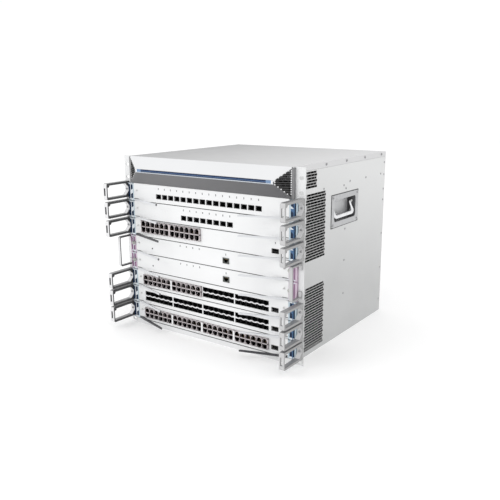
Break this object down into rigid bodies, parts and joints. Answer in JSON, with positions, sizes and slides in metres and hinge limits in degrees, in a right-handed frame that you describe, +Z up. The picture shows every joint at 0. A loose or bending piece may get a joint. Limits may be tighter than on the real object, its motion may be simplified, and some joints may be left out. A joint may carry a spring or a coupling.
{
  "type": "modular chassis switch",
  "caption": "Rack-mounted switch chassis with removable line cards, ejector levers, cable rings, a hooded fascia with a light strip, side vents, lifting handles, fan trays and power modules.",
  "frame": {"origin": "middle of the footprint at the underside of the case", "axes": "+X to the right of someone who faces the front, +Y to the back, +Z up"},
  "size_m": [0.4826, 0.5056, 0.3981],
  "materials": {
    "case_paint": "satin light grey powder coat",
    "cover_paint": "satin mid grey powder coat",
    "cage_steel": "bright zinc-plated sheet",
    "backplane_board": "green solder mask",
    "screw_steel": "zinc plate",
    "fascia_plastic": "fine-textured moulding, light above and dark below",
    "light_strip": "blue translucent strip",
    "mesh_paint": "dark satin coat",
    "ring_plastic": "light grey moulding",
    "dish_steel": "satin grey coat",
    "bail_steel": "plated steel",
    "module_paint": "bare plated sheet",
    "tray_paint": "satin light grey powder coat",
    "fan_plastic": "black glass-filled plastic",
    "card_paint": "satin near-white powder coat",
    "card_board": "green solder mask with metal port shells",
    "lever_plastic": "white moulding with blue sunk fields"
  },
  "bodies": {
    "chassis": {"side_panel_left": "case_paint", "side_panel_right": "case_paint", "base_plate": "case_paint", "rear_frame": "case_paint", "top_cover": "cover_paint", "card_cage": "cage_steel", "backplane": "backplane_board", "cover_screws": "screw_steel", "fascia": "fascia_plastic", "light_bar": "light_strip", "fascia_mesh_left": "mesh_paint", "fascia_mesh_right": "mesh_paint", "cable_rings_left": "ring_plastic", "cable_rings_right": "ring_plastic", "cable_loop_left": "ring_plastic", "cable_loop_right": "ring_plastic", "handle_dish_left": "dish_steel", "handle_dish_right": "dish_steel"},
    "card_1": {"card_1_face": "card_paint", "card_1_board": "card_board"},
    "card_1_lever_right": {"card_1_lever_right": "lever_plastic"},
    "card_1_lever_left": {"card_1_lever_left": "lever_plastic"},
    "card_2": {"card_2_face": "card_paint", "card_2_board": "card_board"},
    "card_2_lever_right": {"card_2_lever_right": "lever_plastic"},
    "card_2_lever_left": {"card_2_lever_left": "lever_plastic"},
    "card_3": {"card_3_face": "card_paint", "card_3_board": "card_board"},
    "card_3_lever_right": {"card_3_lever_right": "lever_plastic"},
    "card_3_lever_left": {"card_3_lever_left": "lever_plastic"},
    "card_4": {"card_4_face": "card_paint", "card_4_board": "card_board"},
    "card_4_lever_right": {"card_4_lever_right": "lever_plastic"},
    "card_4_lever_left": {"card_4_lever_left": "lever_plastic"},
    "card_5": {"card_5_face": "card_paint", "card_5_board": "card_board"},
    "card_5_lever_right": {"card_5_lever_right": "lever_plastic"},
    "card_5_lever_left": {"card_5_lever_left": "lever_plastic"},
    "card_6": {"card_6_face": "card_paint", "card_6_board": "card_board"},
    "card_6_lever_right": {"card_6_lever_right": "lever_plastic"},
    "card_6_lever_left": {"card_6_lever_left": "lever_plastic"},
    "card_7": {"card_7_face": "card_paint", "card_7_board": "card_board"},
    "card_7_lever_right": {"card_7_lever_right": "lever_plastic"},
    "card_7_lever_left": {"card_7_lever_left": "lever_plastic"},
    "card_8": {"card_8_face": "card_paint", "card_8_board": "card_board"},
    "card_8_lever_right": {"card_8_lever_right": "lever_plastic"},
    "card_8_lever_left": {"card_8_lever_left": "lever_plastic"},
    "handle_bail_right": {"handle_bail_right": "bail_steel"},
    "power_module_right": {"power_module_right": "module_paint"},
    "handle_bail_left": {"handle_bail_left": "bail_steel"},
    "power_module_left": {"power_module_left": "module_paint"},
    "fan_tray_lower": {"fan_tray_lower": "tray_paint"},
    "fan_rotor_lower_right": {"fan_rotor_lower_right": "fan_plastic"},
    "fan_rotor_lower_left": {"fan_rotor_lower_left": "fan_plastic"},
    "fan_tray_upper": {"fan_tray_upper": "tray_paint"},
    "fan_rotor_upper_right": {"fan_rotor_upper_right": "fan_plastic"},
    "fan_rotor_upper_left": {"fan_rotor_upper_left": "fan_plastic"}
  },
  "joints": [
    {"name": "card_1_slide", "type": "slide", "parent": "chassis", "child": "card_1", "axis": [0, -1, 0], "range_m": [0, 0.4]},
    {"name": "card_1_lever_right_hinge", "type": "hinge", "parent": "card_1", "child": "card_1_lever_right", "pos_m": [0.226, -0.18675, 0.31678], "axis": [0, 0, 1], "range_deg": [0, 65]},
    {"name": "card_1_lever_left_hinge", "type": "hinge", "parent": "card_1", "child": "card_1_lever_left", "pos_m": [-0.226, -0.18675, 0.31678], "axis": [0, 0, -1], "range_deg": [0, 65]},
    {"name": "card_2_slide", "type": "slide", "parent": "chassis", "child": "card_2", "axis": [0, -1, 0], "range_m": [0, 0.4]},
    {"name": "card_2_lever_right_hinge", "type": "hinge", "parent": "card_2", "child": "card_2_lever_right", "pos_m": [0.226, -0.18675, 0.27614], "axis": [0, 0, 1], "range_deg": [0, 65]},
    {"name": "card_2_lever_left_hinge", "type": "hinge", "parent": "card_2", "child": "card_2_lever_left", "pos_m": [-0.226, -0.18675, 0.27614], "axis": [0, 0, -1], "range_deg": [0, 65]},
    {"name": "card_3_slide", "type": "slide", "parent": "chassis", "child": "card_3", "axis": [0, -1, 0], "range_m": [0, 0.4]},
    {"name": "card_3_lever_right_hinge", "type": "hinge", "parent": "card_3", "child": "card_3_lever_right", "pos_m": [0.226, -0.18675, 0.2355], "axis": [0, 0, 1], "range_deg": [0, 65]},
    {"name": "card_3_lever_left_hinge", "type": "hinge", "parent": "card_3", "child": "card_3_lever_left", "pos_m": [-0.226, -0.18675, 0.2355], "axis": [0, 0, -1], "range_deg": [0, 65]},
    {"name": "card_4_slide", "type": "slide", "parent": "chassis", "child": "card_4", "axis": [0, -1, 0], "range_m": [0, 0.4]},
    {"name": "card_4_lever_right_hinge", "type": "hinge", "parent": "card_4", "child": "card_4_lever_right", "pos_m": [0.226, -0.18675, 0.19486], "axis": [0, 0, 1], "range_deg": [0, 65]},
    {"name": "card_4_lever_left_hinge", "type": "hinge", "parent": "card_4", "child": "card_4_lever_left", "pos_m": [-0.226, -0.18675, 0.19486], "axis": [0, 0, -1], "range_deg": [0, 65]},
    {"name": "card_5_slide", "type": "slide", "parent": "chassis", "child": "card_5", "axis": [0, -1, 0], "range_m": [0, 0.4]},
    {"name": "card_5_lever_right_hinge", "type": "hinge", "parent": "card_5", "child": "card_5_lever_right", "pos_m": [0.226, -0.18675, 0.15422], "axis": [0, 0, 1], "range_deg": [0, 65]},
    {"name": "card_5_lever_left_hinge", "type": "hinge", "parent": "card_5", "child": "card_5_lever_left", "pos_m": [-0.226, -0.18675, 0.15422], "axis": [0, 0, -1], "range_deg": [0, 65]},
    {"name": "card_6_slide", "type": "slide", "parent": "chassis", "child": "card_6", "axis": [0, -1, 0], "range_m": [0, 0.4]},
    {"name": "card_6_lever_right_hinge", "type": "hinge", "parent": "card_6", "child": "card_6_lever_right", "pos_m": [0.226, -0.18675, 0.11358], "axis": [0, 0, 1], "range_deg": [0, 65]},
    {"name": "card_6_lever_left_hinge", "type": "hinge", "parent": "card_6", "child": "card_6_lever_left", "pos_m": [-0.226, -0.18675, 0.11358], "axis": [0, 0, -1], "range_deg": [0, 65]},
    {"name": "card_7_slide", "type": "slide", "parent": "chassis", "child": "card_7", "axis": [0, -1, 0], "range_m": [0, 0.4]},
    {"name": "card_7_lever_right_hinge", "type": "hinge", "parent": "card_7", "child": "card_7_lever_right", "pos_m": [0.226, -0.18675, 0.07294], "axis": [0, 0, 1], "range_deg": [0, 65]},
    {"name": "card_7_lever_left_hinge", "type": "hinge", "parent": "card_7", "child": "card_7_lever_left", "pos_m": [-0.226, -0.18675, 0.07294], "axis": [0, 0, -1], "range_deg": [0, 65]},
    {"name": "card_8_slide", "type": "slide", "parent": "chassis", "child": "card_8", "axis": [0, -1, 0], "range_m": [0, 0.4]},
    {"name": "card_8_lever_right_hinge", "type": "hinge", "parent": "card_8", "child": "card_8_lever_right", "pos_m": [0.226, -0.18675, 0.0323], "axis": [0, 0, 1], "range_deg": [0, 65]},
    {"name": "card_8_lever_left_hinge", "type": "hinge", "parent": "card_8", "child": "card_8_lever_left", "pos_m": [-0.226, -0.18675, 0.0323], "axis": [0, 0, -1], "range_deg": [0, 65]},
    {"name": "handle_bail_right_hinge", "type": "hinge", "parent": "chassis", "child": "handle_bail_right", "pos_m": [0.2115, 0.02125, 0.30105], "axis": [0, -1, 0], "range_deg": [0, 90]},
    {"name": "power_module_right_slide", "type": "slide", "parent": "chassis", "child": "power_module_right", "axis": [0, 1, 0], "range_m": [0, 0.32]},
    {"name": "handle_bail_left_hinge", "type": "hinge", "parent": "chassis", "child": "handle_bail_left", "pos_m": [-0.2115, 0.02125, 0.30105], "axis": [0, 1, 0], "range_deg": [0, 90]},
    {"name": "power_module_left_slide", "type": "slide", "parent": "chassis", "child": "power_module_left", "axis": [0, 1, 0], "range_m": [0, 0.32]},
    {"name": "fan_tray_lower_slide", "type": "slide", "parent": "chassis", "child": "fan_tray_lower", "axis": [0, 1, 0], "range_m": [0, 0.1]},
    {"name": "fan_rotor_lower_right_spin", "type": "hinge", "parent": "fan_tray_lower", "child": "fan_rotor_lower_right", "pos_m": [0.1005, 0.20725, 0.0952], "axis": [0, 1, 0], "continuous": true},
    {"name": "fan_rotor_lower_left_spin", "type": "hinge", "parent": "fan_tray_lower", "child": "fan_rotor_lower_left", "pos_m": [-0.1005, 0.20725, 0.0952], "axis": [0, 1, 0], "continuous": true},
    {"name": "fan_tray_upper_slide", "type": "slide", "parent": "chassis", "child": "fan_tray_upper", "axis": [0, 1, 0], "range_m": [0, 0.1]},
    {"name": "fan_rotor_upper_right_spin", "type": "hinge", "parent": "fan_tray_upper", "child": "fan_rotor_upper_right", "pos_m": [0.1005, 0.20725, 0.25501], "axis": [0, 1, 0], "continuous": true},
    {"name": "fan_rotor_upper_left_spin", "type": "hinge", "parent": "fan_tray_upper", "child": "fan_rotor_upper_left", "pos_m": [-0.1005, 0.20725, 0.25501], "axis": [0, 1, 0], "continuous": true}
  ]
}
